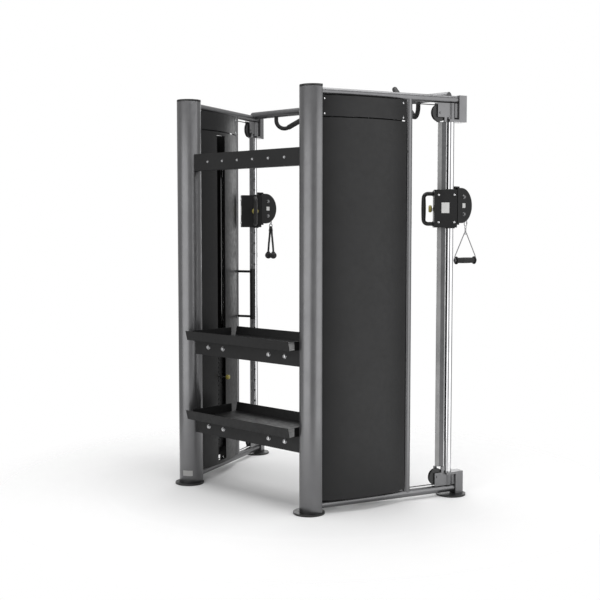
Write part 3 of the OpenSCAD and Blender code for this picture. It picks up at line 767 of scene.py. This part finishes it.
def make_rack_bolts():
    """Hexagon bolts on the beams and the bar, and button screws on the header panels."""
    face = post_axis.y + 0.020
    outward = along_axis((0, 1, 0))
    tray_tops = [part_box("storage_trays")[0].z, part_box("storage_trays")[1].z - 0.050]
    heads = []
    for z in tray_tops:
        for gusset in (-GUSSET_OUT, GUSSET_OUT):
            for x in (gusset - GUSSET_BOLT_OUT, gusset + GUSSET_BOLT_OUT):
                heads.append(moved(hex_bolt(0.0095, 0.007), shift(x, face, z - 0.038) @ outward))
    for i in range(6):
        x = PEG_PITCH * (i - 2.5)
        heads.append(moved(hex_bolt(0.0055, 0.004), shift(x, face, BAR_BOLT_Z) @ outward))
    piece("rack_bolts", join(*heads), "frame", "chrome", replaces=["frame_bolts"])
    low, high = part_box("header_panels")
    screws = []
    for side in SIDES:
        for way in (-1, 1):
            # Two places along the tower, and how far the curved panel stands out there
            for s, offset in ((0.042, 0.0415), (0.494, 0.0313)):
                for z in (low.z + 0.012, high.z - 0.015):
                    screw = moved(socket_screw(0.0045, 0.003), along_axis((0, way, 0)))
                    screws.append(moved(screw, tower(side) @ shift(s, way * offset, z)))
    piece("header_screws", join(*screws), "frame", "chrome")


def make_painted_index_highlights():
    """A lighter strip on both outer sides of each index channel, a painted highlight for the lit band of the
    channel's side.
    """
    low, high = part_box("cable_guards")
    height = high.z - low.z - 0.004
    for side in SIDES:
        strips = []
        # Each strip is a painted highlight laid on one side face of the channel
        for y in (0.0088, 0.0302):
            strip = rounded_box((0.020, 0.0008, height), 0.0003, 1)
            strips.append(moved(strip, shift(-0.0555, y, (low.z + high.z) / 2)))
        piece(f"{side}_painted_index_highlights", join(*strips), "frame", "frame_paint", column(side), mat=painted_highlight_mat)


def make_cable_end(side):
    """The handle cable: over the lower wheel, down to its ball stop and swivel eye."""
    body = f"{side}_housing"
    place = housing(side)
    lower = HOUSING_Z - WHEEL_GAP
    path = arc((WHEEL_OUT, 0, lower), PULLEY_R, 100, 0, ((1, 0, 0), (0, 0, 1)), 16)
    path += [Vector((HANG_OUT, 0, z)) for z in (lower - 0.004, lower - 0.010)]
    piece(f"{side}_handle_cable", sweep(path, CABLE_R, 12), body, "cable_black", place)
    stop = lathe([(0, -STOP_R)] + dome(STOP_R, -80, 81) + [(0, STOP_R)], 32)
    stop = moved(stop, shift(HANG_OUT, 0, STOP_Z))
    piece(f"{side}_ball_stop", stop, body, "rubber_grip", place)


def make_lift_cable(side):
    """The cable under the floating pulley, from the front stack wheel round it to the rear one."""
    floating, rear, front = (centre(f"{side}_{wheel}_pulley")
                             for wheel in ("float", "rear_stack", "front_stack"))
    turn = arc((STACK_OUT, 0, floating.z), PULLEY_R, 0, -180, ((1, 0, 0), (0, 0, 1)), 16)
    path = [Vector((STACK_OUT + PULLEY_R, 0, front.z))] + turn + [Vector((STACK_OUT - PULLEY_R, 0, rear.z))]
    fixed, moving = (0, 0, rear.z - 0.01), (0, 0, floating.z + 0.01)
    piece(f"{side}_stack_cable", sweep(path, CABLE_R, 12), ("frame", f"{side}_lift", fixed, moving),
          "cable_black", tower(side), replaces=[f"{side}_lift_cable"])


make_post_label()
make_rack_bolts()
make_painted_index_highlights()
for side in SIDES:
    make_carriage_handle(side)
    make_pull_pin(side)
    make_selector_pin(side)
    make_carriage_trim(side)
    make_housing_trim(side)
    make_cable_end(side)
    make_lift_cable(side)


# ---------------------------------------------------------------- stirrup

def make_stirrup():
    """The left handle's hook, chain and wire yoke with the axle of its grip."""
    place = hang("left", SPLAY)
    hook_on("stirrup", place, 1.420)
    links = []
    for i in range(3):
        link = chain_link(0.020, 0.012, 0.0019)
        quarter = Matrix.Rotation(math.radians(90 * (i % 2)), 4, "Z")
        links.append(moved(link, shift(0, 0, 1.4125 - 0.0145 * i) @ quarter))
    piece("stirrup_chain", join(*links), "stirrup", "chrome", place, mat=wire_mat)
    apex = arc((0, 0, 1.377), 0.008, 155, 25, ((1, 0, 0), (0, 0, 1)), 8)
    left_leg = [Vector((-GRIP_HALF - 0.007, 0, GRIP_Z + 0.010)),
                Vector((-GRIP_HALF - 0.005, 0, GRIP_Z + 0.022))]
    right_leg = [Vector((-p.x, 0, p.z)) for p in reversed(left_leg)]
    bail = sweep(left_leg + apex + right_leg, 0.0027, 12)
    axle = moved(lathe([(0, 0), (0.004, 0), (0.004, 0.132), (0, 0.132)], 16),
                 shift(-0.066, 0, GRIP_Z) @ along_axis((1, 0, 0)))
    ends = []
    for way in (-1, 1):
        eye = lathe([(0, 0), (0.0105, 0), (0.0112, 0.0008), (0.0112, 0.0034), (0.0105, 0.0042),
                     (0, 0.0042)], 24)
        ends.append(moved(eye, shift(way * (GRIP_HALF + 0.0035), 0, GRIP_Z) @ along_axis((way, 0, 0))))
    piece("stirrup_yoke", join(bail, axle, *ends), "stirrup", "chrome", place, mat=wire_mat,
          replaces=["stirrup_bail"])


def make_grip():
    """A ribbed rubber grip with a flange at each end, free to turn on its axle."""
    core = []
    ribs = 22
    span = GRIP_HALF - 0.006
    for i in range(4 * ribs + 1):
        at = -span + 2 * span * i / (4 * ribs)
        swell = 0.0012 * math.cos(math.pi * at / (2 * span))
        core.append((0.0142 + swell - 0.0005 * (i % 4 == 0), at))
    flange = [(0.0195, 0), (0.021, 0.0012), (0.021, 0.0044), (0.0195, 0.006)]
    low = [(0.0041, -GRIP_HALF)] + [(r, z - GRIP_HALF) for r, z in flange]
    high = [(r, GRIP_HALF - z) for r, z in reversed(flange)] + [(0.0041, GRIP_HALF)]
    mesh = lathe(low + core + high, 40)
    turned_grip = moved(mesh, shift(0, 0, GRIP_Z) @ along_axis((1, 0, 0)))
    piece("stirrup_grip_rubber", turned_grip, "stirrup_grip", "rubber_grip", hang("left", SPLAY),
          replaces=["stirrup_grip"])


make_stirrup()
make_grip()


# ---------------------------------------------------------------- stage and light

def make_floor_plane():
    mesh = bmesh.new()
    bmesh.ops.create_grid(mesh, x_segments=1, y_segments=1, size=20)
    data = bpy.data.meshes.new("floor")
    mesh.to_mesh(data)
    mesh.free()
    data.materials.append(make_floor())
    obj = bpy.data.objects.new("floor", data)
    obj.location = (0, 0, -0.0005)
    bpy.context.scene.collection.objects.link(obj)


def softbox(name, at, size, energy, target=(0, 0, 1.0)):
    data = bpy.data.lights.new(name, "AREA")
    data.shape = "RECTANGLE"
    data.size, data.size_y = size
    data.energy = energy
    obj = bpy.data.objects.new(name, data)
    obj.location = at
    obj.rotation_euler = (Vector(target) - Vector(at)).to_track_quat("-Z", "Y").to_euler()
    bpy.context.scene.collection.objects.link(obj)


def make_world():
    """White behind the object, and a soft grey studio around it."""
    world = bpy.data.worlds.new("studio")
    bpy.context.scene.world = world
    world.use_nodes = True
    nodes, links = world.node_tree.nodes, world.node_tree.links
    nodes.clear()
    out = nodes.new("ShaderNodeOutputWorld")
    mix = nodes.new("ShaderNodeMixShader")
    path = nodes.new("ShaderNodeLightPath")
    white = nodes.new("ShaderNodeBackground")
    grey = nodes.new("ShaderNodeBackground")
    white.inputs["Strength"].default_value = 1.0
    white.inputs["Color"].default_value = (1, 1, 1, 1)
    grey.inputs["Color"].default_value = (0.45, 0.45, 0.45, 1)
    grey.inputs["Strength"].default_value = 1.0
    links.new(path.outputs["Is Camera Ray"], mix.inputs["Fac"])
    links.new(grey.outputs["Background"], mix.inputs[1])
    links.new(white.outputs["Background"], mix.inputs[2])
    links.new(mix.outputs["Shader"], out.inputs["Surface"])


make_floor_plane()
make_world()
# The first two are broad panels on either side of the camera, for the two bright bands on the posts
softbox("rear", (-0.04, 5.4, 1.2), (6.2, 7.0), 190)
softbox("side", (-4.52, -0.55, 1.2), (4.7, 7.0), 140, (-0.65, 0.45, 1.2))
softbox("top", (0.0, 0.0, 4.8), (4.5, 4.5), 175, (0, 0, 0))
softbox("front", (3.0, -4.5, 2.0), (4.0, 3.0), 60)
bpy.context.scene.view_settings.view_transform = "Standard"
